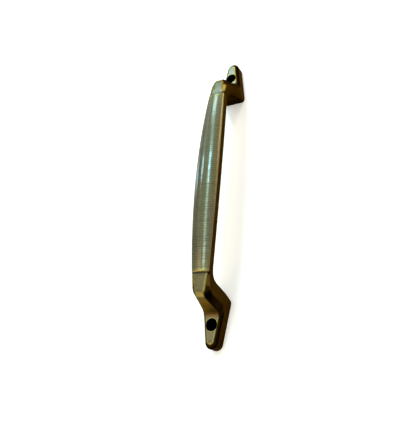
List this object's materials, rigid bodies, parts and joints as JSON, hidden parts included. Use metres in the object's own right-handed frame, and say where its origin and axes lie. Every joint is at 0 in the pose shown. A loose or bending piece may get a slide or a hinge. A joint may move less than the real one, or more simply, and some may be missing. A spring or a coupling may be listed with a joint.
{
  "type": "shutter handle",
  "caption": "Bow-shaped shutter pull handle in antique brass, with a crowned grip, faceted legs and tapered feet drilled for face-fixed screws.",
  "frame": {"origin": "on the door face under the middle of the grip, midway between the two screw holes", "axes": "+X along the handle, +Y across it, +Z out from the door towards the hand"},
  "size_m": [0.1482, 0.012, 0.0237],
  "materials": {
    "antique_brass": "dark patina left in the recesses, brushed through to brass on the raised faces, clear lacquer"
  },
  "bodies": {
    "root": {"shutter_handle": "antique_brass"}
  },
  "joints": []
}
